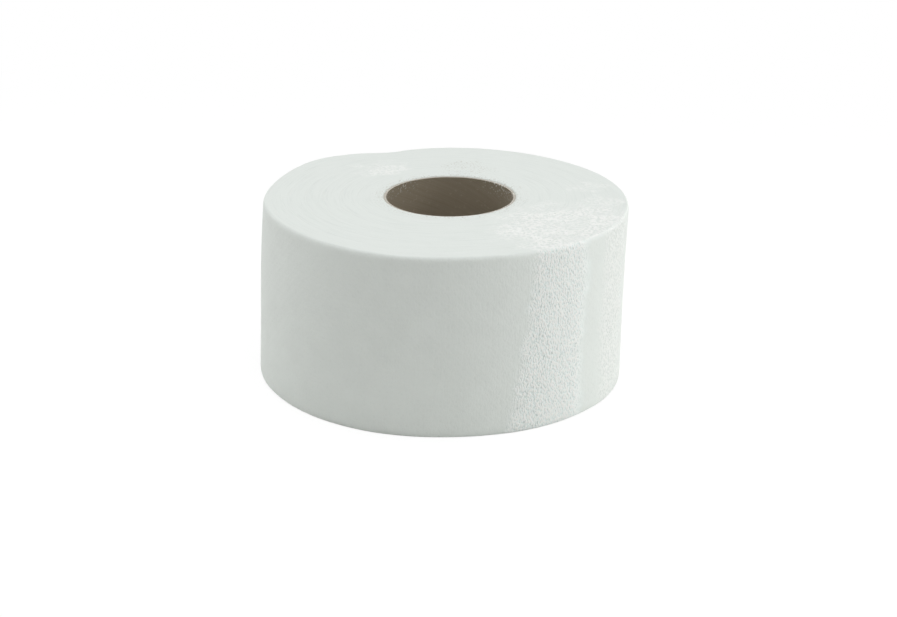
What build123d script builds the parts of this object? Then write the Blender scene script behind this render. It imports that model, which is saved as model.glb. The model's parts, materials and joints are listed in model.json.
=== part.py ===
from build123d import *
import math
import os

# A wide toilet roll for a dispenser, standing on its end. Lengths are in millimetres.
# The origin is in the middle of the lower end, and +Z is up, as the core's axis is.

# The roll as a whole
roll_diameter = 175.0
sheet_width = 85.0

# The core, a tube wound from strips of board and sawn to length together with the paper
bore_diameter = 60.0
core_wall = 1.2
core_recess = 0.4
# The loose outer turns have slipped, which leaves the core this far off the middle, along X
core_offset = 2.8
board_strip_width = 75.0
board_seam_gap = 0.8
board_seam_depth = 0.25

# The paper, from its first turn on the core to the cut end of its last sheet
wrap_clearance = 0.05
inner_rim_bevel = 0.6
outer_rim_radius = 2.2
rim_flat_angle_deg = 30.0
sheet_end_step = 0.5
sheet_end_azimuth_deg = 106.0

# The spiral line that parts the turns on both ends
turn_pitch = 8.0
turn_line_width = 1.1
turn_line_depth = 0.45
turn_line_margin = 3.0

# How far a cutting shape runs out past the face that it cuts
cutter_overlap = 1.0

core_inner_radius = bore_diameter / 2
core_outer_radius = core_inner_radius + core_wall
core_length = sheet_width - 2 * core_recess
paper_inner_radius = core_outer_radius + wrap_clearance
paper_outer_radius = roll_diameter / 2


def half_turn(section, centre_x, far_side):
    """A section in the XZ plane, swung half a turn about an upright line through centre_x.

    The far side swings through +Y, and the near side through -Y.
    """
    swing_axis = Axis((centre_x, 0, 0), (0, 0, 1 if far_side else -1))
    return revolve(section, swing_axis, revolution_arc=180)


def rim_corners(wall_x, rim_z, first_angle_deg):
    """Corners of the flats that turn a quarter round an outer rim, whose centre is at rim_z."""
    flats = round(90 / rim_flat_angle_deg)
    corners = []
    for flat in range(flats + 1):
        angle = math.radians(first_angle_deg + 90 * flat / flats)
        outwards = outer_rim_radius * (math.cos(angle) - 1)
        corners.append((wall_x + outwards, rim_z + outer_rim_radius * math.sin(angle)))
    return corners


def disc_section(radius, centre_x):
    """The paper's section from the line through centre_x out to the wall, with soft rims."""
    wall_x = centre_x + radius
    lower_rim = rim_corners(wall_x, outer_rim_radius, -90)
    upper_rim = rim_corners(wall_x, sheet_width - outer_rim_radius, 0)
    outline = Polyline((centre_x, 0), *lower_rim, *upper_rim, (centre_x, sheet_width), close=True)
    return Plane.XZ * make_face(outline)


def wound_disc():
    """The paper with no hole, and with a wall that grows by one step in its last turn.

    The two halves swing about centres half a step apart, as a spiral drawn with compasses does.
    They meet smoothly on one side, and on the other the last sheet's cut end stands proud.
    """
    risen_centre = -sheet_end_step / 2
    risen_radius = paper_outer_radius - sheet_end_step / 2
    near_half = half_turn(disc_section(paper_outer_radius, 0), 0, far_side=False)
    far_half = half_turn(disc_section(risen_radius, risen_centre), risen_centre, far_side=True)
    return near_half + far_half


def core_hole():
    """The hole through the paper, with a bevel at both ends where the first turn's edge is soft."""
    mouth_radius = paper_inner_radius + inner_rim_bevel
    outline = Polyline(
        (0, -cutter_overlap),
        (mouth_radius, -cutter_overlap),
        (mouth_radius, 0),
        (paper_inner_radius, inner_rim_bevel),
        (paper_inner_radius, sheet_width - inner_rim_bevel),
        (mouth_radius, sheet_width),
        (mouth_radius, sheet_width + cutter_overlap),
        (0, sheet_width + cutter_overlap),
        close=True,
    )
    return revolve(Plane.XZ * make_face(outline), Axis.Z)


def turn_line_section(line_x):
    """A V cut into the upper end, with its point at line_x."""
    depth_with_overlap = turn_line_depth + cutter_overlap
    half_width = turn_line_width / 2 * depth_with_overlap / turn_line_depth
    outline = Polyline(
        (line_x, sheet_width - turn_line_depth),
        (line_x + half_width, sheet_width + cutter_overlap),
        (line_x - half_width, sheet_width + cutter_overlap),
        close=True,
    )
    return Plane.XZ * make_face(outline)


def turn_lines():
    """The spiral line on the upper end, as half turns about two centres half a pitch apart."""
    centre_offset = turn_pitch / 4
    radius = paper_inner_radius + turn_line_margin + centre_offset
    last_radius = paper_outer_radius - outer_rim_radius - turn_line_margin - centre_offset
    far_side = True
    lines = []
    while radius <= last_radius:
        centre_x = -centre_offset if far_side else centre_offset
        lines.append(half_turn(turn_line_section(centre_x + radius), centre_x, far_side))
        radius += turn_pitch / 2
        far_side = not far_side
    return lines


def paper_winding():
    """All the wound paper as one solid.

    The spiral line lies about a middle halfway between the core's axis and the wall's.
    """
    to_sheet_end = Rot(0, 0, sheet_end_azimuth_deg)
    upper_lines = [Pos(core_offset / 2, 0, 0) * to_sheet_end * line for line in turn_lines()]
    mid_plane = Plane.XY.offset(sheet_width / 2)
    lower_lines = [mirror(line, about=mid_plane) for line in upper_lines]
    hole = Pos(core_offset, 0, 0) * core_hole()
    return to_sheet_end * wound_disc() - hole - upper_lines - lower_lines


def board_seam():
    """The gap between the inner strip's edges, which run up the bore as one helix.

    A strip that wraps the bore once in each lead sets the lead by its width.
    """
    bore_girth = math.pi * bore_diameter
    lead = bore_girth * math.tan(math.asin(board_strip_width / bore_girth))
    run = core_length + lead
    helix = Pos(0, 0, -lead / 2) * Helix(pitch=lead, height=run, radius=core_inner_radius)
    start = Plane(origin=helix @ 0, x_dir=(1, 0, 0), z_dir=helix % 0)
    return sweep(start * Rectangle(2 * board_seam_depth, board_seam_gap), path=helix, is_frenet=True)


def cardboard_core():
    """The board tube, whose sawn ends lie just inside the paper's."""
    from_foot = (Align.CENTER, Align.CENTER, Align.MIN)
    tube = Cylinder(core_outer_radius, core_length, align=from_foot)
    tube -= Cylinder(core_inner_radius, core_length, align=from_foot)
    tube -= board_seam()
    return Pos(core_offset, 0, core_recess) * tube


os.makedirs("parts", exist_ok=True)
export_step(paper_winding(), "parts/paper_winding.step")
export_step(cardboard_core(), "parts/cardboard_core.step")
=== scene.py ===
"""Looks for a wide toilet roll on its cardboard core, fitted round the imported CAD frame.

Sizes in the dataclass fields are in millimetres, and meshes are in metres. The origin is in
the middle of the end that the roll stands on, +Z is up, and -Y faces the viewer of the
photograph. The core stands a little towards +X, because the outer turns have slipped.
"""

import json
import logging
import math
from collections.abc import Mapping, Sequence
from dataclasses import dataclass, field
from enum import Enum
from functools import reduce

import bpy
import numpy as np
from mathutils import Matrix, Vector


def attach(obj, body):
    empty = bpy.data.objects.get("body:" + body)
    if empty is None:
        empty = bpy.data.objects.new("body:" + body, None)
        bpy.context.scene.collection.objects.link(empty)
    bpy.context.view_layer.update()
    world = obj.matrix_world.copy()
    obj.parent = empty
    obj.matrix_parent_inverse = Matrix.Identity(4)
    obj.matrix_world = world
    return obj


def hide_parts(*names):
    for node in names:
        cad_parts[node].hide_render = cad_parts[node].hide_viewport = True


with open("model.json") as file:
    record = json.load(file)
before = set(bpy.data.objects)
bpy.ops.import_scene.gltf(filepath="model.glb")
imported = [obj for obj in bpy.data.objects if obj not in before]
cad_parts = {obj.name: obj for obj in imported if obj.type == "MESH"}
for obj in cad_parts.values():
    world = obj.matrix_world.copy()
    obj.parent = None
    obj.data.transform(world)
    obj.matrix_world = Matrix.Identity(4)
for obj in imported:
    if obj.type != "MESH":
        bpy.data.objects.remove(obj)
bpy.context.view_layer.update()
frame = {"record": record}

LOG = logging.getLogger("toilet_roll")
MM = 0.001
PER_METRE_IN_MM = 1000.0
FULL_TURN = 2 * math.pi
# Points of two columns are at the same place along a turn if they are this near.
SAME_PLACE_MM = 1e-6
# The numbers of a mix node's two inputs, for plain values and for colours.
VALUE_A, VALUE_B = 2, 3
COLOUR_A, COLOUR_B = 6, 7

Colour = tuple[float, float, float, float]
Span = tuple[float, float]
Node = bpy.types.Node
Source = bpy.types.Node | bpy.types.NodeSocket
Input = Source | float | str | tuple[float, ...]


class Slot(Enum):
    """The record's material slots."""

    TISSUE = "tissue_paper"
    BOARD = "core_board"


class RollEnd(Enum):
    """The two flat ends of the roll, by the way that they face."""

    UPPER = 1
    LOWER = -1


def linear(hex_colour: str) -> Colour:
    """Turn an sRGB hex colour into the linear values that a shader takes.

    Args:
        hex_colour: The colour as "#RRGGBB".

    Returns:
        Red, green and blue in linear light, and an alpha of one.
    """
    channels = [int(hex_colour[at : at + 2], 16) / 255 for at in (1, 3, 5)]
    light = [c / 12.92 if c <= 0.04045 else ((c + 0.055) / 1.055) ** 2.4 for c in channels]
    return (light[0], light[1], light[2], 1.0)


def between(low: float, high: float) -> dict[str, float]:
    """Give the inputs of a map range that starts from two values."""
    return {"From Min": low, "From Max": high}


def quarter_round(steps: int) -> list[Span]:
    """Give the shares of a quarter round's width and drop that are gone after each step."""
    turns = [math.pi / 2 * step / steps for step in range(1, steps + 1)]
    return [(math.sin(turn), 1 - math.cos(turn)) for turn in turns]


def new_object(name: str, data: bpy.types.ID) -> bpy.types.Object:
    """Make an object and link it into the scene.

    Args:
        name: The object's name.
        data: Its mesh, lamp or camera.

    Returns:
        The object.
    """
    made = bpy.data.objects.new(name, data)
    bpy.context.scene.collection.objects.link(made)
    return made


def new_piece(
    name: str, points_mm: np.ndarray, faces: list[tuple[int, ...]], crease_deg: float
) -> bpy.types.Object:
    """Make a smooth-shaded mesh object that keeps its real edges sharp.

    Args:
        name: The piece's name.
        points_mm: The vertices, one row each.
        faces: The corners of each face, anticlockwise seen from outside.
        crease_deg: Two faces that meet at more than this angle meet in a sharp edge.

    Returns:
        The object, linked into the scene.
    """
    mesh = bpy.data.meshes.new(name)
    mesh.from_pydata((points_mm * MM).tolist(), [], faces)
    mesh.validate()
    mesh.shade_smooth()
    mesh.set_sharp_from_angle(angle=math.radians(crease_deg))
    return new_object(name, mesh)


@dataclass(frozen=True)
class Grain:
    """A noise of one grain size, spread out between two of its values.

    Attributes:
        size_mm: The size of its grain.
        detail: How many finer layers it has.
        low: The value that becomes 0.
        high: The value that becomes 1.
        run: How many times as long as wide it is, along the core's axis.
        roughness: How strong its finer layers are.
    """

    size_mm: float
    detail: float
    low: float = 0.0
    high: float = 1.0
    run: float = 1.0
    roughness: float = 0.5


@dataclass
class Look:
    """The shader nodes of a material or of the room, with the patterns that finishes share.

    Attributes:
        owner: The material or the room.
        at: Where the patterns are read, in metres.
    """

    owner: bpy.types.Material | bpy.types.World
    at: Source | None = None

    def __post_init__(self) -> None:
        """Empty the owner's node tree."""
        self.owner.use_nodes = True
        self.owner.node_tree.nodes.clear()

    def add(self, kind: str, inputs: Mapping[str | int, Input] | None = None, **options: object) -> Node:
        """Add a node, set its options, and fill or link its inputs.

        Args:
            kind: The node's type after its "ShaderNode", such as "TexNoise".
            inputs: What goes into each input, by its name or number. An output, or a node's
                first output in use, is linked. A text is a hex colour, and anything else
                is set as it is.
            **options: The node's own options, such as its operation.

        Returns:
            The new node.
        """
        tree = self.owner.node_tree
        node = tree.nodes.new("ShaderNode" + kind)
        for option, value in options.items():
            setattr(node, option, value)
        for key, value in (inputs or {}).items():
            if isinstance(value, bpy.types.Node):
                value = next(output for output in value.outputs if output.enabled)
            if isinstance(value, bpy.types.NodeSocket):
                tree.links.new(value, node.inputs[key])
            else:
                node.inputs[key].default_value = linear(value) if isinstance(value, str) else value
        return node

    def draw(self, grain: Grain, at: Source | None = None) -> Node:
        """Draw a grain.

        Args:
            grain: The grain.
            at: Where it is read, if not where the other patterns are.

        Returns:
            The grain's height, from 0 to 1.
        """
        stretch = {0: self.at if at is None else at, 1: (1.0, 1.0, 1 / grain.run)}
        run = self.add("VectorMath", stretch, operation="MULTIPLY")
        size = {"Vector": run, "Scale": PER_METRE_IN_MM / grain.size_mm}
        noise = self.add("TexNoise", {**size, "Detail": grain.detail, "Roughness": grain.roughness})
        return self.add("MapRange", {"Value": noise, **between(grain.low, grain.high)})

    def distance(self, x_mm: float, y_mm: float = 0.0) -> Node:
        """Give the distance in metres from the upright line at an X and a Y."""
        level = self.add("VectorMath", {0: self.at, 1: (1.0, 1.0, 0.0)}, operation="MULTIPLY")
        return self.add("VectorMath", {0: level, 1: (x_mm * MM, y_mm * MM, 0.0)}, operation="DISTANCE")

    def levelness(self, normal: Source) -> Node:
        """Give how level the surface is, from 0 on a wall to 1 on a flat end."""
        up = self.add("SeparateXYZ", {0: normal}).outputs["Z"]
        return self.add("Math", {0: up}, operation="ABSOLUTE")

    def highest(self, *shares: Source) -> Source:
        """Give the highest of some shares at each place."""
        return reduce(lambda one, two: self.add("Math", {0: one, 1: two}, operation="MAXIMUM"), shares)

    def seen_straight(self) -> Source:
        """Give 1 to the camera's rays, also by way of a mirror or glass, and 0 to the rest."""
        ray = self.add("LightPath").outputs
        return self.highest(ray["Is Camera Ray"], ray["Is Glossy Ray"], ray["Is Transmission Ray"])

    def pile(self, *layers: tuple[Source, Input]) -> Input:
        """Add up the heights of some patterns.

        Args:
            *layers: Each pattern, from 0 to 1, with its depth in millimetres.

        Returns:
            The height in millimetres.
        """
        height: Input = 0.0
        for pattern, depth in layers:
            height = self.add("Math", {0: pattern, 1: depth, 2: height}, operation="MULTIPLY_ADD")
        return height

    def paint(self, colour: Input, *coats: tuple[Source, Input]) -> Input:
        """Lay coats of colour over one another.

        Args:
            colour: The colour at the bottom.
            *coats: For each coat, the share of it that shows and its colour.

        Returns:
            The colour that is seen.
        """
        for share, coat in coats:
            colour = self.add("Mix", {0: share, COLOUR_A: colour, COLOUR_B: coat}, data_type="RGBA")
        return colour

    def cover(self, height: Input, depth_mm: float, inputs: Mapping[str, Input]) -> None:
        """Close a material with its surface, and a bump in that.

        Args:
            height: The bump's height.
            depth_mm: How deep a height of 1 is.
            inputs: What goes into each of the surface's other inputs.
        """
        bump = self.add("Bump", {"Distance": depth_mm * MM, "Height": height})
        surface = self.add("BsdfPrincipled", {**inputs, "Normal": bump})
        self.add("OutputMaterial", {"Surface": surface})


@dataclass(frozen=True)
class Ripple:
    """A smooth, seeded unevenness in space, as a sum of plane waves.

    Attributes:
        seed: Start of the random draws, so that each run gives the same surface.
        shortest_mm: The shortest wave.
        longest_mm: The longest wave.
        height_mm: About how far the surface leaves its plain form.
        waves: How many waves are summed.
        stretch: How much longer the waves are along each axis.
    """

    seed: int
    shortest_mm: float
    longest_mm: float
    height_mm: float
    waves: int = 14
    stretch: tuple[float, float, float] = (1.0, 1.0, 1.0)

    def at(self, points_mm: np.ndarray) -> np.ndarray:
        """Give the unevenness at some points.

        Args:
            points_mm: The points, one row each.

        Returns:
            The height at each point, in millimetres.
        """
        draw = np.random.default_rng(self.seed)
        ways = draw.normal(size=(self.waves, 3))
        ways /= np.linalg.norm(ways, axis=1, keepdims=True)
        lengths = draw.uniform(self.shortest_mm, self.longest_mm, self.waves)
        starts = draw.uniform(0, FULL_TURN, self.waves)
        turns = (points_mm / np.array(self.stretch)) @ (ways / lengths[:, None]).T
        return self.height_mm * np.sin(FULL_TURN * turns + starts).sum(axis=1) / math.sqrt(self.waves)


@dataclass(frozen=True)
class SoftPress:
    """A place where the loose outer turns have been pressed in, or stand out.

    Attributes:
        azimuth_deg: Its middle, from +X towards +Y.
        spread_deg: Half its width.
        inset_mm: How far the wall goes in there, negative where it stands out.
        drop_mm: How far the rim goes down there.
        reach_mm: How far from the end it is felt.
        end: The end that it is at.
    """

    azimuth_deg: float
    spread_deg: float
    inset_mm: float
    drop_mm: float
    reach_mm: float
    end: RollEnd = RollEnd.UPPER

    def weight(self, azimuth: np.ndarray, from_end_mm: np.ndarray) -> np.ndarray:
        """Give the share felt at points, from their azimuths and distances to the press's end."""
        aside = np.angle(np.exp(1j * (azimuth - math.radians(self.azimuth_deg))))
        return np.exp(-((aside / math.radians(self.spread_deg)) ** 2) - (from_end_mm / self.reach_mm) ** 2)


@dataclass(frozen=True)
class CoreLean:
    """How the core's upper end, and the turns next to it, stand a little askew.

    Attributes:
        rise_mm: How far the core's middle stands up there.
        to_right: The slope towards +X.
        to_back: The slope towards +Y.
    """

    rise_mm: float = 0.3
    to_right: float = 0.015
    to_back: float = 0.012

    def lift(self, x_mm: np.ndarray, y_mm: np.ndarray, rise: np.ndarray) -> np.ndarray:
        """Give how far points go up, from their X and Y off the axis and share of the height."""
        return (self.rise_mm + self.to_right * x_mm + self.to_back * y_mm) * rise**2


@dataclass(frozen=True)
class SidePatch:
    """An upright patch on the wall, with an uneven border.

    Attributes:
        azimuth_deg: The middle of its foot, from +X towards +Y.
        spread_deg: Half its width.
        border_deg: The width of its border, outside that.
        lean: How far round the wall it goes for each millimetre that it climbs.
        strength: How strongly it shows, from 0 to 1.
    """

    azimuth_deg: float
    spread_deg: float
    border_deg: float
    lean: float = 0.0
    strength: float = 1.0

    def share(self, look: Look, uneven: Source) -> Node:
        """Mark the patch.

        Args:
            look: The material's nodes.
            uneven: A coarse noise, which moves its border.

        Returns:
            The patch's strength on it, and 0 on the rest.
        """
        way = math.radians(self.azimuth_deg)
        outside = math.cos(math.radians(self.spread_deg + self.border_deg))
        border = math.cos(math.radians(self.spread_deg)) - outside
        height = look.add("SeparateXYZ", {0: look.at}).outputs["Z"]
        back_round = (self.lean * math.sin(way), -self.lean * math.cos(way), 0.0)
        aside = look.add("VectorMath", {0: back_round, "Scale": height}, operation="SCALE")
        upright = look.add("VectorMath", {0: look.at, 1: aside}, operation="ADD")
        level = look.add("VectorMath", {0: upright, 1: (1.0, 1.0, 0.0)}, operation="MULTIPLY")
        unit = look.add("VectorMath", {0: level}, operation="NORMALIZE")
        towards = (math.cos(way), math.sin(way), 0.0)
        facing = look.add("VectorMath", {0: unit, 1: towards}, operation="DOT_PRODUCT")
        moved = look.add("Math", {0: uneven, 1: border, 2: facing}, operation="MULTIPLY_ADD")
        limits = between(outside + border / 2, outside + border * 3 / 2)
        sockets = {"Value": moved, **limits, "To Max": self.strength}
        return look.add("MapRange", sockets, interpolation_type="SMOOTHSTEP")


@dataclass(frozen=True)
class Scuff:
    """A round spot on the upper end, with a ragged border, where fluff or dust lies.

    Attributes:
        x_mm: The X of its middle.
        y_mm: The Y of its middle.
        reach_mm: How far from its middle the last of it lies.
        fullness: How thickly it lies in the middle.
        even_share: The share of its reach out to which it is even. It thins out from there.
        ragged_mm: How far its border would wander between the noise's lowest and highest values.
    """

    x_mm: float
    y_mm: float
    reach_mm: float
    fullness: float
    even_share: float = 0.6
    ragged_mm: float = 18.0

    def share(self, look: Look, uneven: Source) -> Node:
        """Mark the spot.

        Args:
            look: The material's nodes.
            uneven: A coarse noise, which makes its border ragged.

        Returns:
            The spot's fullness in its middle, and 0 past its reach.
        """
        away = look.distance(self.x_mm, self.y_mm)
        wander = self.ragged_mm * MM
        ragged = look.add("Math", {0: uneven, 1: -wander, 2: away}, operation="MULTIPLY_ADD")
        reach = self.reach_mm * MM
        limits = between(reach - wander / 2, reach * self.even_share - wander / 2)
        return look.add("MapRange", {"Value": ragged, **limits, "To Max": self.fullness})


@dataclass(frozen=True)
class CrepedTissue:
    """Two-ply tissue, creped on the drying roll, micro-embossed and wound tight.

    Creping leaves fine ridges across the run of the sheet, so upright ones on the wall. They
    give the eye a soft grain where light grazes it. The ends are the sawn edges of the
    turns, duller than the sheet and streaked along the turns.
    """

    name: str = "creped_two_ply_tissue"
    sheet_colour: str = "#EAEFEB"
    thin_colour: str = "#E8EDE9"
    # Painted shade, for the crepe's valleys.
    painted_valley_shade_colour: str = "#D6DCD8"
    edge_colour: str = "#E9EEEA"
    # Painted shade, for the gaps between the turns' edges on the ends.
    painted_gap_shade_colour: str = "#DEE4E0"
    # The loose fluff on the ends, and also the painted highlight on the raised crepe's crests.
    fluff_and_painted_highlight_colour: str = "#FAFCF9"
    # Painted light, on the wall's lit front right.
    painted_light_colour: str = "#F4FCFA"
    board_dust_colour: str = "#B9B4A8"
    ior: float = 1.53
    specular_level: float = 0.25
    smooth_roughness: float = 0.84
    fuzzy_roughness: float = 0.97
    sheen: float = 0.05
    # How level the surface is where the look of the sawn end begins, and where it is full.
    end_level: Span = (0.45, 0.9)
    # Real crepe ridges are 0.3 mm apart. They are drawn more than twice as wide, to show.
    crepe: Grain = Grain(0.75, detail=2.5, low=0.25, high=0.75, run=1.7)
    crepe_depth_mm: float = 0.07
    raised_crepe_depth_mm: float = 0.45
    # The shares of the ridges' height at which the valley's painted shade ends, and at which the crest's
    # painted highlight is full.
    valley_and_crest: Span = (0.4, 0.56)
    # Painted shade: how dark the valleys are painted, on the plain sheet and where the crepe stands up and
    # shades them.
    painted_valley_shades: Span = (0.2, 0.85)
    # The sheet's cloudy formation, and the noise that moves the borders of the patches below.
    cloud: Grain = Grain(9, detail=3, low=0.35, high=0.65)
    side_border: Grain = Grain(9, detail=2)
    # Painted light: the wall is painted paler on its lit front right. It is an upright patch and one that
    # leans on it.
    painted_light_side: tuple[SidePatch, ...] = (
        SidePatch(307.5, 4, 9.5),
        SidePatch(299, 3, 9, lean=0.15),
    )
    # The higher this power, the more the painted light keeps to the middle of its patch.
    painted_light_power: float = 2.0
    # The crepe stands up in a strip made up in the same way, and in one at the right edge.
    raised_bands: tuple[SidePatch, ...] = (
        SidePatch(306.5, 6.5, 5),
        SidePatch(298, 4.5, 5, lean=0.153),
        SidePatch(336, 4, 8, strength=0.75),
    )
    # The large scuff is over the wall's painted light, and the small ones are knocks.
    scuffs: tuple[Scuff, ...] = (
        Scuff(62, -48, reach_mm=43, fullness=1.0),
        Scuff(-32, 45, reach_mm=15, fullness=0.6),
        Scuff(69, 18, reach_mm=9, fullness=0.45),
        Scuff(75, -4, reach_mm=10, fullness=0.45),
    )
    scuff_patches: Grain = Grain(9, detail=1)
    tufts: Grain = Grain(1.3, detail=2, low=0.38, high=0.62)
    tuft_depth_mm: float = 0.15
    # The tufts' heights in thin patches and in thick ones, and the patches' values at both.
    tuft_heights: Span = (0.65, 1.35)
    tuft_patch_values: Span = (0.35, 0.55)
    # Dust of the sawn board lies on the paper round the core, and most of it behind. Where it is
    # thick its noise is raised, so that more of it passes the values that make a speck.
    board_dust: Grain = Grain(0.9, detail=1)
    board_dust_reach_mm: float = 10.0
    board_dust_raise: float = 0.16
    board_dust_values: Span = (0.71, 0.82)
    board_dust_strength: float = 0.7
    dusty_spot: Scuff = Scuff(10, 46, reach_mm=19, fullness=0.8)
    emboss_pitch_mm: float = 2.5
    emboss_depth_mm: float = 0.03
    # The values of the two crossed waves at which an embossed dot begins and is full.
    emboss_values: Span = (0.1, 0.8)
    # Real turns are 0.15 mm thick. The streaks on the ends are drawn as bundles of turns.
    turn_streak: Grain = Grain(0.8, detail=3, low=0.25, high=0.75, roughness=0.6)
    turn_streak_run: float = 22.0
    turn_streak_depth_mm: float = 0.03
    # Painted shade in the gaps between the turns: how low a streak is where it begins, and how dark the
    # deepest gap is painted.
    gap_top: float = 0.5
    painted_gap_shade_strength: float = 0.6
    sawn_fibre: Grain = Grain(0.7, detail=2)
    sawn_fibre_depth_mm: float = 0.02

    def material(self, winding: "PaperWinding") -> bpy.types.Material:
        """Build the tissue's material.

        Args:
            winding: The wound paper that it is for.

        Returns:
            The material.
        """
        look = Look(bpy.data.materials.new(self.name))
        place = look.add("TexCoord").outputs
        look.at = place["Object"]
        border = look.draw(self.side_border)
        # Painted light: where the wall is painted paler, as if lit.
        painted_light = look.highest(*(patch.share(look, border) for patch in self.painted_light_side))
        raised = look.highest(*(band.share(look, border) for band in self.raised_bands))
        patches = look.draw(self.scuff_patches)
        fluff = self._fluff(look, patches)
        dust = self._board_dust(look, patches, winding)
        crepe = look.draw(self.crepe)
        depths = {"To Min": self.crepe_depth_mm, "To Max": self.raised_crepe_depth_mm}
        crepe_depth = look.add("MapRange", {"Value": raised, **depths})
        emboss = self._emboss(look, winding.outer_radius_mm)
        wall_height = look.pile((emboss, self.emboss_depth_mm), (crepe, crepe_depth))
        fibre = look.draw(self.sawn_fibre)
        streak = self._turn_streaks(look, winding.core_offset_mm / 2)
        end_height = look.pile(
            (fibre, self.sawn_fibre_depth_mm),
            (streak, self.turn_streak_depth_mm),
            (fluff, self.tuft_depth_mm),
        )
        sockets = {"Value": look.levelness(place["Normal"]), **between(*self.end_level)}
        on_end = look.add("MapRange", sockets, interpolation_type="SMOOTHSTEP")
        height = look.add("Mix", {0: on_end, VALUE_A: wall_height, VALUE_B: end_height})
        sheet = self._sheet_colour(look, crepe, painted_light, raised)
        # Painted shade in the low streaks, the gaps between the turns' edges.
        sockets = {"Value": streak, **between(0.0, self.gap_top), "To Min": self.painted_gap_shade_strength}
        painted_gap_shade = look.add("MapRange", {**sockets, "To Max": 0.0})
        coats = (painted_gap_shade, self.painted_gap_shade_colour), (fluff, self.fluff_and_painted_highlight_colour), (dust, self.board_dust_colour)
        edges = look.paint(self.edge_colour, *coats)
        shine = {"To Min": self.fuzzy_roughness, "To Max": self.smooth_roughness}
        inputs = {
            "Base Color": look.paint(sheet, (on_end, edges)),
            "Roughness": look.add("MapRange", {"Value": crepe, **shine}),
            "IOR": self.ior,
            "Specular IOR Level": self.specular_level,
            "Sheen Weight": self.sheen,
        }
        look.cover(height, 1.0, inputs)
        return look.owner

    def _fluff(self, look: Look, patches: Source) -> Node:
        """Draw the tufts of loose fibre on the scuffs, in patches, fewer towards their borders.

        Args:
            look: The material's nodes.
            patches: The coarse noise that makes the patches.

        Returns:
            The tufts' height, 1 for a plain one.
        """
        share = look.highest(*(scuff.share(look, patches) for scuff in self.scuffs))
        thin, thick = self.tuft_heights
        sockets = {"Value": patches, **between(*self.tuft_patch_values), "To Min": thin, "To Max": thick}
        height = look.add("MapRange", sockets)
        tuft = look.add("Math", {0: look.draw(self.tufts), 1: height}, operation="MULTIPLY")
        return look.add("Math", {0: tuft, 1: share}, operation="MULTIPLY")

    def _board_dust(self, look: Look, patches: Source, winding: "PaperWinding") -> Node:
        """Scatter the sawn board's dust on the paper, most of it next to the core.

        Args:
            look: The material's nodes.
            patches: The coarse noise that makes its border ragged.
            winding: The wound paper.

        Returns:
            How much of the dust's colour shows, from 0 to 1.
        """
        hole = winding.inner_radius_mm * MM
        limits = between(hole + self.board_dust_reach_mm * MM, hole)
        round_core = look.add("MapRange", {"Value": look.distance(winding.core_offset_mm), **limits})
        share = look.highest(round_core, self.dusty_spot.share(look, patches))
        sockets = {0: share, 1: self.board_dust_raise, 2: look.draw(self.board_dust)}
        raised = look.add("Math", sockets, operation="MULTIPLY_ADD")
        sockets = {"Value": raised, **between(*self.board_dust_values), "To Max": self.board_dust_strength}
        specks = look.add("MapRange", sockets)
        return look.add("Math", {0: specks, 1: share}, operation="MULTIPLY")

    def _emboss(self, look: Look, wall_radius_mm: float) -> Node:
        """Draw the small embossed dots, in staggered rows round the wall.

        Args:
            look: The material's nodes.
            wall_radius_mm: The wall's radius, which sets how many dots go round it.

        Returns:
            The dots' height, from 0 to 1.
        """
        dots_round = round(FULL_TURN * wall_radius_mm / (2 * self.emboss_pitch_mm))
        rows_per_metre = PER_METRE_IN_MM * math.pi / self.emboss_pitch_mm
        parts = look.add("SeparateXYZ", {0: look.at}).outputs
        angle = look.add("Math", {0: parts["Y"], 1: parts["X"]}, operation="ARCTAN2")
        waves = []
        for place, rate in ((angle, float(dots_round)), (parts["Z"], rows_per_metre)):
            turn = look.add("Math", {0: place, 1: rate}, operation="MULTIPLY")
            waves.append(look.add("Math", {0: turn}, operation="SINE"))
        crossed = look.add("Math", {0: waves[0], 1: waves[1]}, operation="MULTIPLY")
        sockets = {"Value": crossed, **between(*self.emboss_values)}
        return look.add("MapRange", sockets, interpolation_type="SMOOTHSTEP")

    def _turn_streaks(self, look: Look, turns_offset_mm: float) -> Node:
        """Draw the streaks that the turns' edges make on the ends.

        Args:
            look: The material's nodes.
            turns_offset_mm: How far the turns' middle is from the origin, along X.

        Returns:
            The streaks' height, from 0 to 1.
        """
        parts = look.add("SeparateXYZ", {0: look.at}).outputs
        sockets = {0: look.distance(turns_offset_mm), 1: parts["X"], 2: parts["Y"]}
        wound = look.add("CombineXYZ", sockets)
        along = 1 / self.turn_streak_run
        drawn_out = look.add("VectorMath", {0: wound, 1: (1.0, along, along)}, operation="MULTIPLY")
        return look.draw(self.turn_streak, drawn_out)

    def _sheet_colour(self, look: Look, crepe: Source, painted_light: Source, raised: Source) -> Input:
        """Colour the sheet's face with its cloudy formation, and paint light and shade on it.

        The lit front right of the wall is painted paler. Painted shade lies in the crepe's valleys, and
        where the crepe stands up the valleys get deeper painted shade and the crests a painted highlight.

        Args:
            look: The material's nodes.
            crepe: The crepe ridges' height.
            painted_light: 1 where the wall is painted paler, as if lit, and 0 on the rest.
            raised: 1 where the crepe stands up and 0 on the rest.

        Returns:
            The colour.
        """
        # Painted light, strongest in the middle of its patch.
        painted_light_share = look.add("Math", {0: painted_light, 1: self.painted_light_power}, operation="POWER")
        # Painted shade in the crepe's valleys, deeper where the crepe stands up.
        plain, shaded = self.painted_valley_shades
        depth = look.add("MapRange", {"Value": raised, "To Min": plain, "To Max": shaded})
        limits = between(0.0, self.valley_and_crest[0])
        painted_valley_shade = look.add("MapRange", {"Value": crepe, **limits, "To Min": depth, "To Max": 0.0})
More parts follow.
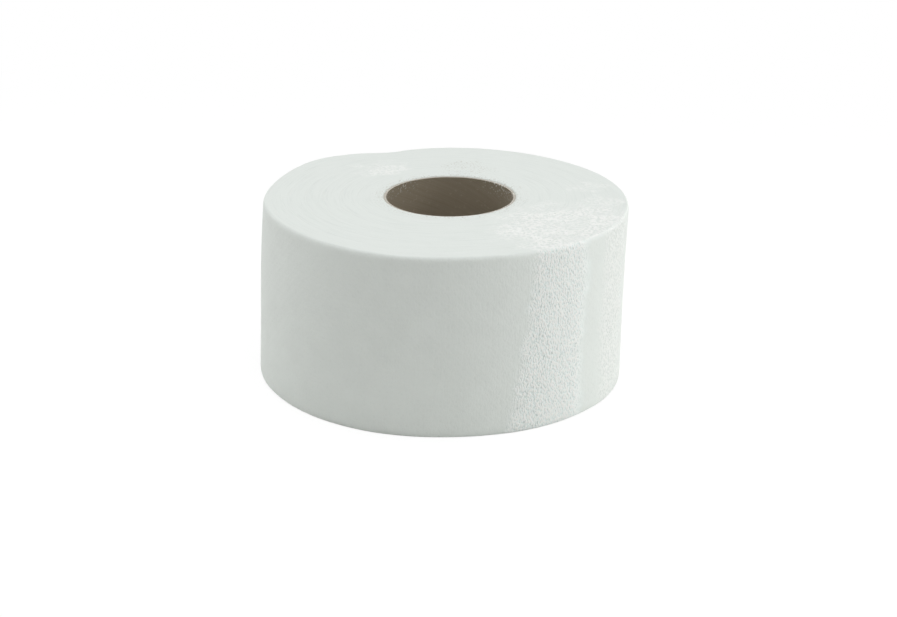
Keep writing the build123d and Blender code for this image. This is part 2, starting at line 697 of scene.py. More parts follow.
        # A painted highlight on the crests where the crepe stands up.
        sockets = {"Value": crepe, **between(*self.valley_and_crest), "To Max": raised}
        return look.paint(
            self.sheet_colour,
            (look.draw(self.cloud), self.thin_colour),
            (painted_light_share, self.painted_light_colour),
            (painted_valley_shade, self.painted_valley_shade_colour),
            (look.add("MapRange", sockets), self.fluff_and_painted_highlight_colour),
        )


@dataclass(frozen=True)
class WoundBoard:
    """Grey-brown recycled board, slit into strips, glued and wound into a tube.

    The fibres run with the strips, so the eye sees faint streaks that climb the bore, a few
    pale and dark flecks of old print and fibre, and a paler, rough edge where it was sawn.
    """

    name: str = "spiral_wound_recycled_board"
    face_colour: str = "#A69B88"
    dark_colour: str = "#9F9481"
    fleck_colour: str = "#AEA390"
    sawn_colour: str = "#C9C5BC"
    glue_colour: str = "#A59C8C"
    dust_colour: str = "#E2E2DA"
    ior: float = 1.5
    smooth_roughness: float = 0.78
    fuzzy_roughness: float = 0.95
    streak: Grain = Grain(1.4, detail=3, low=0.38, high=0.66, run=9)
    # Real fibres are 0.03 mm wide. The fine grain is drawn wider, to show.
    fibre: Grain = Grain(0.5, detail=3, low=0.3, high=0.7)
    fibre_depth_mm: float = 0.05
    fleck: Grain = Grain(1.7, detail=1, low=0.66, high=0.72)
    speck: Grain = Grain(0.85, detail=0, low=0.65, high=0.69)
    dust_reach_mm: float = 7.0
    # The share of the bore's radius, to the left and right, at which the dust starts and is full.
    dust_sides: Span = (0.45, 0.7)
    # How level the surface is where the look of the sawn edge begins, and where it is full.
    edge_level: Span = (0.5, 0.8)
    # How wide the line of glue is to each side, as a share of a ply, and how much it shows.
    glue_spread: float = 0.35
    glue_strength: float = 0.6
    # How much of the face's colour shows where the sawn edge is torn lowest.
    torn_strength: float = 0.35

    def material(self, core: "CardboardCore", height_mm: float) -> bpy.types.Material:
        """Build the board's material.

        Args:
            core: The core that it is for.
            height_mm: The roll's height, at whose ends the paper's dust lies on the board.

        Returns:
            The material.
        """
        look = Look(bpy.data.materials.new(self.name))
        place = look.add("TexCoord").outputs
        axis = (core.offset_mm * MM, 0.0, 0.0)
        look.at = look.add("VectorMath", {0: place["Object"], 1: axis}, operation="SUBTRACT")
        height = look.add("SeparateXYZ", {0: look.at}).outputs["Z"]
        back_turn = -FULL_TURN * PER_METRE_IN_MM / core.seam_lead()
        climb = look.add("Math", {0: height, 1: back_turn}, operation="MULTIPLY")
        unwound = look.add("VectorRotate", {"Vector": look.at, "Angle": climb}, rotation_type="Z_AXIS")
        fibre = look.draw(self.fibre)
        sockets = {"Value": look.levelness(place["Normal"]), **between(*self.edge_level)}
        colour = look.paint(
            self.face_colour,
            (look.draw(self.streak, unwound), self.dark_colour),
            (look.draw(self.fleck), self.fleck_colour),
            (look.add("MapRange", sockets), self._sawn_edge(look, fibre, core)),
            (self._dust(look, core, height_mm), self.dust_colour),
        )
        shine = {"To Min": self.fuzzy_roughness, "To Max": self.smooth_roughness}
        roughness = look.add("MapRange", {"Value": fibre, **shine})
        inputs = {"Base Color": colour, "Roughness": roughness, "IOR": self.ior}
        look.cover(fibre, self.fibre_depth_mm, inputs)
        return look.owner

    def _sawn_edge(self, look: Look, fibre: Source, core: "CardboardCore") -> Input:
        """Colour the sawn edge, with a darker glue line between its plies.

        Args:
            look: The material's nodes.
            fibre: The board's fine grain.
            core: The core, from whose bore the plies count.

        Returns:
            The colour.
        """
        count = {1: PER_METRE_IN_MM / core.ply_mm, 2: -core.bore_radius_mm / core.ply_mm}
        plies = look.add("Math", {0: look.distance(0.0), **count}, operation="MULTIPLY_ADD")
        nearest = look.add("Math", {0: plies, 1: 1.0}, operation="PINGPONG")
        sockets = {"Value": nearest, **between(self.glue_spread, 0.0), "To Max": self.glue_strength}
        glue = look.add("MapRange", sockets)
        torn = look.add("MapRange", {"Value": fibre, "To Min": self.torn_strength, "To Max": 0.0})
        return look.paint(self.sawn_colour, (glue, self.glue_colour), (torn, self.face_colour))

    def _dust(self, look: Look, core: "CardboardCore", height_mm: float) -> Node:
        """Place the saw's specks of paper dust on the board near both ends, at its two sides.

        Args:
            look: The material's nodes.
            core: The core.
            height_mm: The roll's height.

        Returns:
            1 on a speck and 0 elsewhere.
        """
        parts = look.add("SeparateXYZ", {0: look.at}).outputs
        middle = height_mm * MM / 2
        from_middle = look.add("Math", {0: parts["Z"], 1: middle}, operation="SUBTRACT")
        off = look.add("Math", {0: from_middle}, operation="ABSOLUTE")
        limits = between(middle - self.dust_reach_mm * MM, middle)
        near_end = look.add("MapRange", {"Value": off, **limits})
        aside = look.add("Math", {0: parts["X"]}, operation="ABSOLUTE")
        limits = between(*(share * core.bore_radius_mm * MM for share in self.dust_sides))
        at_side = look.add("MapRange", {"Value": aside, **limits})
        placed = look.add("Math", {0: at_side, 1: near_end}, operation="MULTIPLY")
        return look.add("Math", {0: look.draw(self.speck), 1: placed}, operation="MULTIPLY")


@dataclass(frozen=True)
class StudioPaper:
    """Matt white background paper, which the camera sees as plain white.

    The paper keeps part of the object's shadow, so that the roll is seen to stand on it, and
    the whole of it inside the core, where the paper is seen through the roll. Far from the
    roll it merges with the white room.
    """

    name: str = "matt_background_paper"
    lit_colour: str = "#EBEBE9"
    seen_colour: str = "#FFFFFF"
    roughness: float = 0.95
    whitening: float = 0.86
    shadow_share: float = 0.175
    # How far from the core the shadow starts to fade, and how far off it is gone.
    fade_mm: Span = (250.0, 700.0)
    tooth: Grain = Grain(2, detail=2)
    tooth_depth_mm: float = 0.02

    def material(self, hole_offset_mm: float, hole_radius_mm: float) -> bpy.types.Material:
        """Build the paper's material.

        Args:
            hole_offset_mm: How far the middle of the roll's hole is from the origin, along X.
            hole_radius_mm: The radius of the hole, core and all.

        Returns:
            The material.
        """
        look = Look(bpy.data.materials.new(self.name))
        look.at = look.add("TexCoord").outputs["Object"]
        away = look.distance(hole_offset_mm)
        outside = look.add("Math", {0: away, 1: hole_radius_mm * MM}, operation="GREATER_THAN")
        bump = look.add("Bump", {"Distance": self.tooth_depth_mm * MM, "Height": look.draw(self.tooth)})
        sockets = {"Color": self.lit_colour, "Roughness": self.roughness, "Normal": bump}
        lit = look.add("BsdfDiffuse", sockets)
        fade = {"Value": away, **between(*(distance * MM for distance in self.fade_mm))}
        shadow = look.add("MapRange", {**fade, "To Min": self.shadow_share, "To Max": 0.0})
        shadowed = look.add("BsdfDiffuse", {"Color": shadow})
        glow = look.add("MapRange", {**fade, "To Min": self.whitening, "To Max": 1.0})
        white = look.add("Emission", {"Color": self.seen_colour, "Strength": glow})
        seen = look.add("AddShader", {0: shadowed, 1: white})
        whitened = look.add("Math", {0: look.seen_straight(), 1: outside}, operation="MULTIPLY")
        surface = look.add("MixShader", {0: whitened, 1: lit, 2: seen})
        look.add("OutputMaterial", {"Surface": surface})
        return look.owner


@dataclass(frozen=True)
class Column:
    """The numbers of the points in one section through the axis.

    Attributes:
        ends: Those on each end, from the mouth to the rim.
        places: Where those lie along the turns.
        wall: Those from the upper end's edge to the lower end's edge.
        bore: Those from the lower end's mouth to the upper end's mouth.
    """

    ends: dict[RollEnd, list[int]]
    places: list[float]
    wall: list[int]
    bore: list[int]


@dataclass
class PaperWinding:
    """All the wound paper as one closed skin: two sawn ends, the wall and the core's hole.

    The skin is built in columns, each a section through the axis, which start and end at
    the last sheet's cut end. On the ends its points lie along the turns, so that the line
    that parts the turns stays crisp.
    """

    inner_radius_mm: float = 31.25
    outer_radius_mm: float = 87.5
    height_mm: float = 85.0
    mouth_radius_mm: float = 0.6
    rim_width_mm: float = 1.3
    rim_drop_mm: float = 2.6
    sheet_end_step_mm: float = 0.5
    sheet_end_azimuth_deg: float = 106.0
    # The last sheet's cut end stands a little off the turn below, and less so at its corners.
    tail_lift_mm: float = 0.6
    tail_reach_mm: float = 4.0
    tail_corner_share: float = 0.4
    # The cut's edge wanders only from this share of the way out to the wall.
    cut_share: float = 0.93
    turn_pitch_mm: float = 8.0
    turn_line_margin_mm: float = 3.0
    turn_line_width_mm: float = 1.3
    turn_line_depth_mm: float = 0.09
    turn_line_turns: int = 6
    turn_line_fade_deg: float = 40.0
    ridge_height_mm: float = 0.02
    ridges_per_pitch: tuple[int, ...] = (3, 5)
    # The ends' relief begins at the hole and is full from this share of the way out.
    relief_share: float = 0.04
    # How far up or down each end reads its bands and its swell, so that the two ends differ.
    bands_apart_mm: float = 40.0
    swell_apart_mm: float = 70.0
    # The outer turns have slipped a little to one side of the core, more at the foot.
    core_offset_mm: float = 2.8
    head_slip_mm: float = -2.2
    foot_slip_mm: float = -3.5
    core_lean: CoreLean = CoreLean()
    # How steeply each form of the wall fades inwards, as a power of the share of the way out,
    # and how steeply the core's lean fades outwards.
    tail_power: float = 20
    slack_power: float = 2
    flutes_power: float = 6
    press_power: float = 3
    slip_power: float = 1.5
    lean_power: float = 2
    columns: int = 320
    wall_rows: int = 38
    rim_rows: int = 6
    mouth_rows: int = 3
    # How far apart the rings of points are beside the line and elsewhere, and how far from the
    # mouth and the rim they stay.
    line_spacing_mm: float = 0.22
    plain_spacing_mm: float = 0.63
    least_gap_mm: float = 0.26
    # The turns for which rings of points are made, counted from the line's first turn.
    ring_turns: range = range(-2, 8)
    crease_deg: float = 42.0
    presses: tuple[SoftPress, ...] = (
        SoftPress(111, 9, inset_mm=1.1, drop_mm=0.9, reach_mm=22),
        SoftPress(106, 22, inset_mm=0.6, drop_mm=1.0, reach_mm=22),
        SoftPress(167, 16, inset_mm=1.5, drop_mm=0.5, reach_mm=9),
        SoftPress(138, 10, inset_mm=-1.6, drop_mm=0, reach_mm=30),
        SoftPress(205, 32, inset_mm=2.0, drop_mm=0, reach_mm=26),
        SoftPress(356, 38, inset_mm=0.9, drop_mm=0, reach_mm=48),
        SoftPress(222, 28, inset_mm=0, drop_mm=0.6, reach_mm=9),
        SoftPress(256, 22, inset_mm=0, drop_mm=0.6, reach_mm=9),
        SoftPress(198, 12, inset_mm=-0.6, drop_mm=0, reach_mm=14, end=RollEnd.LOWER),
        SoftPress(227, 30, inset_mm=-0.7, drop_mm=0, reach_mm=30, end=RollEnd.LOWER),
        SoftPress(275, 18, inset_mm=0.6, drop_mm=0, reach_mm=30, end=RollEnd.LOWER),
        SoftPress(335, 16, inset_mm=-1.3, drop_mm=0, reach_mm=16, end=RollEnd.LOWER),
    )
    slack: Ripple = Ripple(seed=11, shortest_mm=60, longest_mm=150, height_mm=0.16)
    flutes: Ripple = Ripple(seed=23, shortest_mm=9, longest_mm=30, height_mm=0.035, stretch=(1, 1, 3))
    end_bands: Ripple = Ripple(seed=5, shortest_mm=5, longest_mm=16, height_mm=0.02, waves=10)
    end_swell: Ripple = Ripple(seed=7, shortest_mm=40, longest_mm=110, height_mm=0.07)
    cut_wander: Ripple = Ripple(seed=31, shortest_mm=9, longest_mm=30, height_mm=0.25)
    points: list[tuple[float, float, float]] = field(default_factory=list)
    faces: list[tuple[int, ...]] = field(default_factory=list)

    def wall_radius(self, angle: float) -> float:
        """Give the wall's radius, which grows by one step in the last turn.

        Args:
            angle: The angle from the sheet's cut end, in radians.

        Returns:
            The radius in millimetres.
        """
        if angle >= math.pi:
            return self.outer_radius_mm
        aside = self.sheet_end_step_mm / 2
        risen = self.outer_radius_mm - aside
        return math.sqrt(risen**2 - (aside * math.sin(angle)) ** 2) - aside * math.cos(angle)

    def turn_growth(self, angle: np.ndarray | float) -> np.ndarray:
        """Give how far the line between the turns has grown out since the cut end's angle."""
        quarter, cosine = self.turn_pitch_mm / 4, np.cos(angle)
        return quarter * np.where(np.asarray(angle) < math.pi, 1 - cosine, 3 + cosine)

    def first_line_radius(self) -> float:
        """Give the radius at which the line between the turns starts."""
        return self.inner_radius_mm + self.turn_line_margin_mm

    def plane(self, end: RollEnd) -> float:
        """Give the height of one of the ends."""
        return self.height_mm if end is RollEnd.UPPER else 0.0

    def ring_places(self) -> np.ndarray:
        """Place the rings of points along the turns, closer together beside the line.

        Returns:
            Each ring's distance out from the line's first turn, in millimetres.
        """
        half = self.turn_line_width_mm / 2
        beside = np.linspace(-half, half, 2 * round(half / self.line_spacing_mm) + 1)
        steps = round((self.turn_pitch_mm - 2 * half) / self.plain_spacing_mm)
        plain = np.linspace(half, self.turn_pitch_mm - half, steps + 1)[1:-1]
        one_pitch = np.concatenate([beside, plain])
        return np.concatenate([one_pitch + self.turn_pitch_mm * turn for turn in self.ring_turns])

    def end_relief(self, radius: np.ndarray, angle: np.ndarray, end: RollEnd) -> np.ndarray:
        """Give how far the sawn end lies below its plain plane.

        Args:
            radius: Each point's radius.
            angle: Each point's angle from the sheet's cut end.
            end: The end that the points are on.

        Returns:
            The depth at each point, in millimetres.
        """
        place = radius - self.first_line_radius() - self.turn_growth(angle)
        turn = np.round(place / self.turn_pitch_mm)
        beside = place - turn * self.turn_pitch_mm
        half = self.turn_line_width_mm / 2
        groove = np.where(np.abs(beside) < half, 0.5 + 0.5 * np.cos(math.pi * beside / half), 0.0)
        run = turn * FULL_TURN + angle
        fade = math.radians(self.turn_line_fade_deg)
        last = self.turn_line_turns * FULL_TURN
        groove *= np.clip(run / fade, 0, 1) * np.clip((last - run) / fade, 0, 1)
        ridges = sum(
            np.cos(FULL_TURN * count * place / self.turn_pitch_mm + count) / 2 + 0.5
            for count in self.ridges_per_pitch
        )
        zeros = np.zeros_like(radius)
        apart = zeros + end.value
        bands = self.end_bands.at(np.column_stack([radius, zeros, self.bands_apart_mm * apart]))
        x, y = radius * np.cos(angle), radius * np.sin(angle)
        swell = self.end_swell.at(np.column_stack([x, y, self.swell_apart_mm * apart]))
        return self.turn_line_depth_mm * groove + self.ridge_height_mm * ridges + bands + swell

    def add_points(self, radii: list[float], angle: float, heights: list[float]) -> list[int]:
        """Add points of one section through the axis.

        Args:
            radii: The points' radii.
            angle: The section's angle from the sheet's cut end.
            heights: The points' heights.

        Returns:
            The points' numbers.
        """
        start = len(self.points)
        self.points.extend((radius, angle, height) for radius, height in zip(radii, heights))
        return list(range(start, len(self.points)))

    def end_radii(self, angle: float) -> tuple[list[float], list[float]]:
        """Choose one column's points on an end, with their places along the turns.

        Args:
            angle: The column's angle from the sheet's cut end.

        Returns:
            The radii from the mouth to the rim, and each one's place.
        """
        inner = self.inner_radius_mm + self.mouth_radius_mm
        outer = self.wall_radius(angle) - self.rim_width_mm
        zero = self.first_line_radius() + float(self.turn_growth(angle))
        places = self.ring_places()
        radii = places + zero
        kept = (radii > inner + self.least_gap_mm) & (radii < outer - self.least_gap_mm)
        all_places = [inner - zero, *places[kept].tolist(), outer - zero]
        return [inner, *radii[kept].tolist(), outer], all_places

    def wall_points(self, angle: float, ends: dict[RollEnd, list[int]]) -> list[int]:
        """Add one column's points down the rim and the wall, between its two ends' points.

        Args:
            angle: The column's angle from the sheet's cut end.
            ends: The column's points on each end.

        Returns:
            The points from the upper end's edge to the lower end's edge.
        """
        wall = self.wall_radius(angle)
        steps = quarter_round(self.rim_rows)
        radii = [wall - self.rim_width_mm * (1 - over) for over, _ in steps]
        drops = [self.rim_drop_mm * down for _, down in steps]
        rows = np.linspace(self.height_mm - self.rim_drop_mm, self.rim_drop_mm, self.wall_rows + 1)[1:-1]
        heights = [*(self.height_mm - drop for drop in drops), *rows.tolist(), *drops[::-1]]
        added = self.add_points(radii + [wall] * len(rows) + radii[::-1], angle, heights)
        return [ends[RollEnd.UPPER][-1], *added, ends[RollEnd.LOWER][-1]]

    def bore_points(self, angle: float, ends: dict[RollEnd, list[int]]) -> list[int]:
        """Add one column's points through the hole, between its two ends' points.

        Args:
            angle: The column's angle from the sheet's cut end.
            ends: The column's points on each end.

        Returns:
            The points from the lower end's mouth to the upper end's mouth.
        """
        steps = quarter_round(self.mouth_rows)
        radii = [self.inner_radius_mm + self.mouth_radius_mm * (1 - over) for over, _ in steps]
        rises = [self.mouth_radius_mm * up for _, up in steps]
        heights = [*rises, *(self.height_mm - rise for rise in rises[::-1])]
        added = self.add_points(radii + radii[::-1], angle, heights)
        return [ends[RollEnd.LOWER][0], *added, ends[RollEnd.UPPER][0]]

    def join(
        self,
        left: list[int],
        right: list[int],
        left_places: Sequence[float],
        right_places: Sequence[float],
        flip: bool = False,
    ) -> None:
        """Fill the strip between two columns, with a triangle where one has a point more.

        Args:
            left: The first column's points.
            right: The next column's points.
            left_places: Where the first column's points lie along it.
            right_places: Where the next column's points lie along it.
            flip: Whether the faces look down.
        """
        i = j = 0
        while i < len(left) - 1 or j < len(right) - 1:
            on_left = i < len(left) - 1
            on_right = j < len(right) - 1
            last_pair = i == len(left) - 2 and j == len(right) - 2
            if on_left and on_right and not last_pair:
                ahead = left_places[i + 1] - right_places[j + 1]
                on_left = ahead < SAME_PLACE_MM
                on_right = ahead > -SAME_PLACE_MM
            corners = (left[i], left[i + on_left], right[j + on_right], right[j])
            corners = tuple(dict.fromkeys(corners))
            if len(corners) > 2:
                self.faces.append(corners[::-1] if flip else corners)
            i += on_left
            j += on_right

    def lace(self, left: list[int], right: list[int]) -> None:
        """Fill the strip between two columns that have the same number of points."""
        self.join(left, right, range(len(left)), range(len(right)))

    def raise_skin(self) -> None:
        """Add all the points and faces of the plain form."""
        columns: list[Column] = []
        for number in range(self.columns):
            angle = FULL_TURN * number / self.columns
            radii, places = self.end_radii(angle)
            ends = {end: self.add_points(radii, angle, [self.plane(end)] * len(radii)) for end in RollEnd}
            wall = self.wall_points(angle, ends)
            columns.append(Column(ends, places, wall, self.bore_points(angle, ends)))
        first = columns[0]
        rim = [self.outer_radius_mm - self.rim_width_mm]
        ends = {end: first.ends[end] + self.add_points(rim, FULL_TURN, [self.plane(end)]) for end in RollEnd}
        places = [place - self.turn_pitch_mm for place in first.places]
        places.append(places[-1] + self.sheet_end_step_mm)
        columns.append(Column(ends, places, self.wall_points(FULL_TURN, ends), first.bore))
        for left, right in zip(columns, columns[1:]):
            for end in RollEnd:
                flip = end is RollEnd.LOWER
                self.join(left.ends[end], right.ends[end], left.places, right.places, flip)
            self.lace(left.wall, right.wall)
            self.lace(left.bore, right.bore)
        self.lace(columns[-1].wall, first.wall)

    def tail_lift(self, angle: np.ndarray, height: np.ndarray) -> np.ndarray:
        """Give how far the last sheet stands off the turn below, most at its cut end.

        Args:
            angle: Each point's angle from the cut end.
            height: Each point's height.

        Returns:
            The lift, in millimetres.
        """
        back = (FULL_TURN - angle) * self.outer_radius_mm
        middle = (1 - self.tail_corner_share) * np.sin(math.pi * height / self.height_mm)
        full = self.tail_lift_mm * (self.tail_corner_share + middle)
        return full * np.exp(-back / self.tail_reach_mm)

    def settle(self) -> np.ndarray:
        """Move the plain form's points to where the loose, soft paper lies.

        Returns:
            The points in the row frame, in millimetres.
        """
        radius, angle, height = np.array(self.points).T.copy()
        plain_height = height.copy()
        azimuth = angle + math.radians(self.sheet_end_azimuth_deg)
        plain = np.column_stack([radius * np.cos(azimuth), radius * np.sin(azimuth), plain_height])
        spread = self.outer_radius_mm - self.inner_radius_mm
        share = np.clip((radius - self.inner_radius_mm) / spread, 0, 1)
        at_cut = np.minimum(angle, FULL_TURN - angle) < FULL_TURN / self.columns / 2
        at_rim = np.clip((share - self.cut_share) / (1 - self.cut_share), 0, 1)
        wander = self.cut_wander.at(np.column_stack([height * 0, height * 0, height]))
        azimuth = azimuth + np.where(at_cut, wander * at_rim / self.outer_radius_mm, 0)
        edge = np.clip(share / self.relief_share, 0, 1)
        for end in RollEnd:
            from_plane = np.abs(plain_height - self.plane(end))
            near = from_plane < self.rim_drop_mm
            near &= radius > self.inner_radius_mm + self.mouth_radius_mm / 2
            relief = self.end_relief(radius, angle, end) * (1 - from_plane / self.rim_drop_mm)
            height -= np.where(near, end.value * relief * edge, 0)
        radius += self.tail_lift(angle, plain_height) * share**self.tail_power
        radius += self.slack.at(plain) * share**self.slack_power
        radius += self.flutes.at(plain) * share**self.flutes_power
        for press in self.presses:
            from_end = np.abs(plain_height - self.plane(press.end))
            weight = press.weight(azimuth, from_end) * share**self.press_power
            radius -= press.inset_mm * weight
            height -= press.end.value * press.drop_mm * weight
        rise = plain_height / self.height_mm
        slip = self.foot_slip_mm + (self.head_slip_mm - self.foot_slip_mm) * rise
        x, y = radius * np.cos(azimuth), radius * np.sin(azimuth)
        height += self.core_lean.lift(x, y, rise) * (1 - share) ** self.lean_power
        x += self.core_offset_mm + slip * share**self.slip_power
        return np.column_stack([x, y, np.maximum(height, 0)])

    def build(self) -> bpy.types.Object:
        """Build the winding's mesh.

        Returns:
            The piece, which stands in for the CAD node paper_winding, now hidden.
        """
        self.raise_skin()
        piece = new_piece("wound_tissue", self.settle(), self.faces, self.crease_deg)
        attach(piece, "root")
        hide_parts("paper_winding")
        return piece

    def dress(self, piece: bpy.types.Object, finish: CrepedTissue) -> None:
        """Give the winding its tissue."""
        piece.data.materials.append(finish.material(self))


@dataclass
class CardboardCore:
    """The board tube: a bore with a seam that climbs it, sawn ends and a plain outside.

    The columns of points climb with the strips, so that the seam between the strips' edges
    is one clean groove.
    """

    offset_mm: float = 2.8
    bore_radius_mm: float = 30.0
    wall_mm: float = 1.2
    foot_mm: float = 0.4
    length_mm: float = 84.2
    strip_width_mm: float = 75.0
    seam_gap_mm: float = 0.8
    seam_depth_mm: float = 0.25
    # These are shares of half the seam's gap: where its columns are, where its groove ends, how
    # wide the groove's side is, and the middle and the spread of the lip beside it.
    seam_columns: tuple[float, ...] = (-2.2, -1.35, -1.0, -0.8, 0.0, 0.8, 1.0, 1.35, 2.2)
    groove_end: float = 1.02
    groove_side: float = 0.2
    lip_middle: float = 1.35
    lip_spread: float = 0.4
    lip_height_mm: float = 0.05
    sawn_edge_mm: float = 0.12
    edge_round_mm: float = 0.06
    columns: int = 132
    rows: int = 96
    edge_rings: int = 8
    ply_mm: float = 0.4
    ply_line_depth_mm: float = 0.05
    ply_line_spread_mm: float = 0.1
    crease_deg: float = 50.0
    lean: CoreLean = CoreLean()
    warp: Ripple = Ripple(seed=41, shortest_mm=25, longest_mm=70, height_mm=0.03)
    # How far in the warp may come, so that the bore stays free.
    most_warp_in_mm: float = 0.05
    burr: Ripple = Ripple(seed=43, shortest_mm=1.2, longest_mm=5, height_mm=0.035, waves=24)
    burr_level_mm: float = 0.03

    def seam_slope(self) -> float:
        """Give the sine of the angle at which the seam climbs, which the strip's width sets."""
        return self.strip_width_mm / (FULL_TURN * self.bore_radius_mm)

    def seam_lead(self) -> float:
        """Give how far the seam climbs in one turn."""
        return FULL_TURN * self.bore_radius_mm * math.tan(math.asin(self.seam_slope()))

    def top(self) -> float:
        """Give the height of the core's upper end."""
        return self.foot_mm + self.length_mm

    def column_offsets(self) -> np.ndarray:
        """Place the columns round the bore, closer together across the seam.

        Returns:
            Each column's angle from the middle of the seam.
        """
        half_gap = self.seam_gap_mm / 2 / self.seam_slope() / self.bore_radius_mm
        beside = half_gap * np.array(self.seam_columns)
        plain = np.linspace(beside[-1], FULL_TURN + beside[0], self.columns)[1:-1]
        return np.concatenate([beside, plain])

    def groove(self, offsets: np.ndarray) -> np.ndarray:
        """Give the seam's depth across the columns, with a slightly raised lip on each side.

        Args:
            offsets: Each column's angle from the middle of the seam.

        Returns:
            How far out from the bore each column lies, in millimetres.
        """
        aside = np.abs(np.angle(np.exp(1j * offsets))) * self.bore_radius_mm
        across = aside * self.seam_slope() / (self.seam_gap_mm / 2)
        depth = self.seam_depth_mm * np.clip((self.groove_end - across) / self.groove_side, 0, 1)
        lip = self.lip_height_mm * np.exp(-(((across - self.lip_middle) / self.lip_spread) ** 2))
        return depth - lip * (across > self.groove_end)

    def build(self) -> bpy.types.Object:
        """Build the core's mesh.

        Returns:
            The piece, which stands in for the CAD node cardboard_core, now hidden.
        """
        offsets = self.column_offsets()
        groove = self.groove(offsets)
        ungrooved = np.zeros_like(groove)
        bore_z = np.linspace(self.foot_mm + self.sawn_edge_mm, self.top() - self.sawn_edge_mm, self.rows)
        outer = self.bore_radius_mm + self.wall_mm
        loops = [
            *(self._loop(offsets, groove, z, self.bore_radius_mm) for z in bore_z),
            *self._sawn_loops(offsets, groove, RollEnd.UPPER),
            *(self._loop(offsets, ungrooved, z, outer) for z in (bore_z[-1], bore_z[0])),
            *self._sawn_loops(offsets, groove, RollEnd.LOWER)[::-1],
        ]
        count = len(offsets)
        faces = []
        for ring in range(len(loops)):
            here = ring * count
            above = (ring + 1) % len(loops) * count
            for column in range(count):
                beside = (column + 1) % count
                faces.append((here + column, above + column, above + beside, here + beside))
        piece = new_piece("wound_board_core", np.concatenate(loops), faces, self.crease_deg)
        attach(piece, "root")
        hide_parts("cardboard_core")
        return piece

    def _loop(self, offsets: np.ndarray, outwards: np.ndarray, height: float, radius: float) -> np.ndarray:
        """Lay one ring of points, turned so that the columns climb with the seam.

        Args:
            offsets: Each column's angle from the middle of the seam.
            outwards: How far out from the radius each column lies.
            height: The ring's height.
            radius: The ring's radius.

        Returns:
            The points, one row each.
        """
        angle = offsets + FULL_TURN * (height - self.foot_mm) / self.seam_lead()
        z = np.full_like(angle, height)
        ring = np.column_stack([radius * np.cos(angle), radius * np.sin(angle), z])
        warp = self.warp.at(ring) * (radius < self.bore_radius_mm + self.wall_mm / 2)
        moved = radius + outwards + np.maximum(warp, -self.most_warp_in_mm)
        x, y = moved * np.cos(angle), moved * np.sin(angle)
        lift = self.lean.lift(x, y, z / (self.top() + self.foot_mm))
        return np.column_stack([self.offset_mm + x, y, z + lift])

    def _sawn_loops(self, offsets: np.ndarray, groove: np.ndarray, end: RollEnd) -> list[np.ndarray]:
        """Lay the rings of one sawn end, from the bore out.

        Args:
            offsets: Each column's angle from the middle of the seam.
            groove: The seam's depth across the columns.
            end: The end.

        Returns:
            The rings.
        """
        height = self.top() if end is RollEnd.UPPER else self.foot_mm
        loops = []
        for ring in range(self.edge_rings + 1):
            share = ring / self.edge_rings
            across = self.wall_mm * share
            loop = self._loop(offsets, groove * (1 - share), height, self.bore_radius_mm + across)
            from_ply = abs((across / self.ply_mm + 0.5) % 1 - 0.5) * self.ply_mm
            line = self.ply_line_depth_mm * max(0.0, 1 - from_ply / self.ply_line_spread_mm)
            at_edge = ring in (0, self.edge_rings)
            burr = np.maximum(self.burr.at(loop) + self.burr_level_mm, 0)
            loop[:, 2] -= end.value * ((self.edge_round_mm if at_edge else line) + burr)
            loops.append(loop)
        return loops

    def dress(self, piece: bpy.types.Object, finish: WoundBoard, height_mm: float) -> None:
        """Give the core its board, with dust at the ends of a roll of some height."""
        piece.data.materials.append(finish.material(self, height_mm))


@dataclass(frozen=True)
class SoftBox:
    """A large, even studio lamp that faces the roll.

    Attributes:
        name: The lamp's name.
        azimuth_deg: The side that it stands on, from +X towards +Y.
        elevation_deg: Its height above the horizon.
        distance_m: Its distance from the middle of the roll.
        width_m: Its width.
        height_m: Its height.
        level: How brightly it lights a white face that looks straight at it.
    """

    name: str
    azimuth_deg: float
    elevation_deg: float
    distance_m: float
    width_m: float
    height_m: float
    level: float

    def place(self, aim: Vector) -> None:
        """Put the lamp in the scene.

        Args:
            aim: The point that the lamp faces.
        """
        azimuth, elevation = math.radians(self.azimuth_deg), math.radians(self.elevation_deg)
        level = math.cos(elevation)
        out = Vector((math.cos(azimuth) * level, math.sin(azimuth) * level, math.sin(elevation)))
        light = bpy.data.lights.new(self.name, "AREA")
        light.shape = "RECTANGLE"
        light.size = self.width_m
        light.size_y = self.height_m
        light.energy = self.level * (math.pi * self.distance_m) ** 2
        lamp = new_object(self.name, light)
        lamp.location = aim + out * self.distance_m
        lamp.rotation_euler = out.to_track_quat("Z", "Y").to_euler()


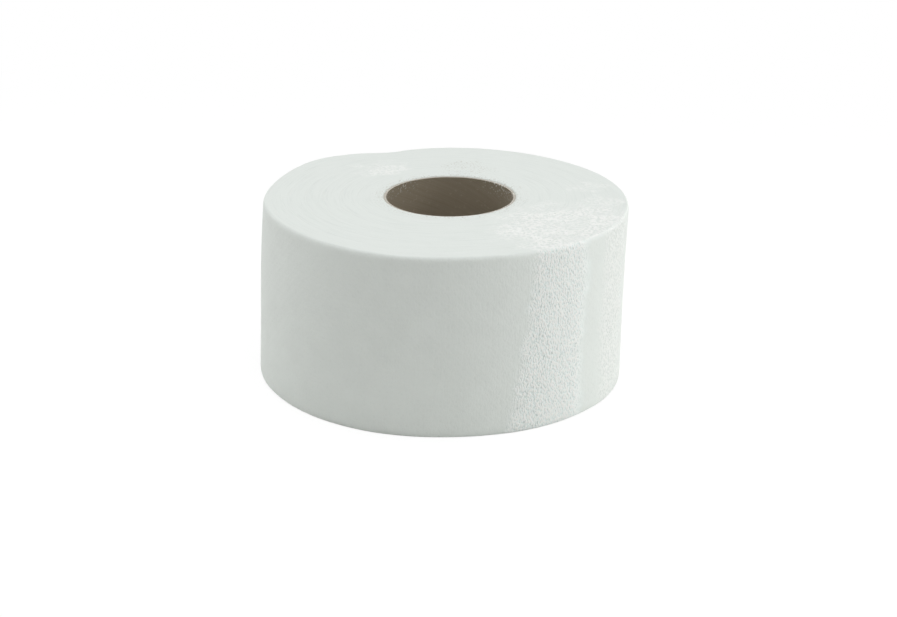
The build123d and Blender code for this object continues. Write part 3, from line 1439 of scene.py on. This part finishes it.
@dataclass
class Studio:
    """The floor, the light and the camera."""

    picture_width_px: int = 897
    focal_length_px: float = 1611.0
    sensor_mm: float = 36.0
    camera_mm: tuple[float, float, float] = (3.2, -728.76, 311.2)
    pitch_deg: float = 21.2489
    roll_deg: float = -1.0439
    # How near and how far the camera sees.
    seen_m: Span = (0.01, 50.0)
    floor_m: float = 8.0
    ambient: float = 0.335
    ambient_colour: str = "#FFFFFF"
    lamps: tuple[SoftBox, ...] = (
        SoftBox("right_soft_box", 0, 30, distance_m=1.6, width_m=0.5, height_m=0.7, level=0.14),
        SoftBox("right_low_strip", -5, 0, distance_m=0.6, width_m=0.5, height_m=0.08, level=0.27),
        SoftBox("left_soft_box", 154, 34, distance_m=1.6, width_m=0.6, height_m=0.7, level=0.095),
        SoftBox("left_low_strip", 160, 0, distance_m=0.6, width_m=0.4, height_m=0.08, level=0.14),
        SoftBox("top_soft_box", -90, 82, distance_m=1.8, width_m=1.2, height_m=1.2, level=0.53),
    )

    def build(self, aim: Vector, paper: bpy.types.Material) -> None:
        """Lay the floor, light the room and set up the camera.

        Args:
            aim: The middle of the roll, which the lamps face.
            paper: The floor's material.
        """
        self._lay_floor(paper)
        self._light_room()
        for lamp in self.lamps:
            lamp.place(aim)
        self._set_camera()

    def _lay_floor(self, paper: bpy.types.Material) -> None:
        """Lay the background paper on the plane that the roll stands on.

        Args:
            paper: The floor's material.
        """
        half = self.floor_m / 2
        corners = [(-half, -half, 0), (half, -half, 0), (half, half, 0), (-half, half, 0)]
        mesh = bpy.data.meshes.new("background_paper")
        mesh.from_pydata(corners, [], [(0, 1, 2, 3)])
        mesh.materials.append(paper)
        floor = new_object("background_paper", mesh)

    def _light_room(self) -> None:
        """Fill the room with even light, and show the camera plain white."""
        look = Look(bpy.data.worlds.new("studio_room"))
        room, white = (
            look.add("Background", {"Color": self.ambient_colour, "Strength": strength})
            for strength in (self.ambient, 1.0)
        )
        mix = look.add("MixShader", {0: look.seen_straight(), 1: room, 2: white})
        look.add("OutputWorld", {"Surface": mix})
        bpy.context.scene.world = look.owner

    def _set_camera(self) -> None:
        """Set up the camera where the photograph was taken from."""
        level = Matrix.Rotation(math.pi / 2 - math.radians(self.pitch_deg), 4, "X")
        turn = level @ Matrix.Rotation(-math.radians(self.roll_deg), 4, "Z")
        data = bpy.data.cameras.new("photograph_camera")
        data.sensor_fit = "HORIZONTAL"
        data.sensor_width = self.sensor_mm
        data.lens = self.focal_length_px * self.sensor_mm / self.picture_width_px
        data.clip_start, data.clip_end = self.seen_m
        camera = new_object("photograph_camera", data)
        camera.matrix_world = Matrix.Translation(Vector(self.camera_mm) * MM) @ turn
        bpy.context.scene.camera = camera


def report(piece: bpy.types.Object) -> None:
    """Log one piece's name and its number of faces."""
    LOG.info("%s: %d faces", piece.name, len(piece.data.polygons))


def core_axis_offset_mm() -> float:
    """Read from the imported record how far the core's axis is from the origin, along X."""
    bore = next(mount for mount in frame["record"]["mounts"] if mount["name"] == "core_bore")
    return bore["pos_m"][0] * PER_METRE_IN_MM


def main() -> None:
    """Build the roll and the studio."""
    logging.basicConfig(level=logging.INFO, format="%(name)s: %(message)s")
    bpy.context.scene.view_settings.view_transform = "Standard"
    core_offset_mm = core_axis_offset_mm()
    winding = PaperWinding(core_offset_mm=core_offset_mm)
    wound_paper = winding.build()
    winding.dress(wound_paper, CrepedTissue())
    report(wound_paper)
    core = CardboardCore(offset_mm=core_offset_mm)
    tube = core.build()
    core.dress(tube, WoundBoard(), winding.height_mm)
    report(tube)
    background = StudioPaper().material(core_offset_mm, winding.inner_radius_mm)
    Studio().build(Vector((0, 0, winding.height_mm * MM / 2)), background)


if __name__ == "__main__":
    main()
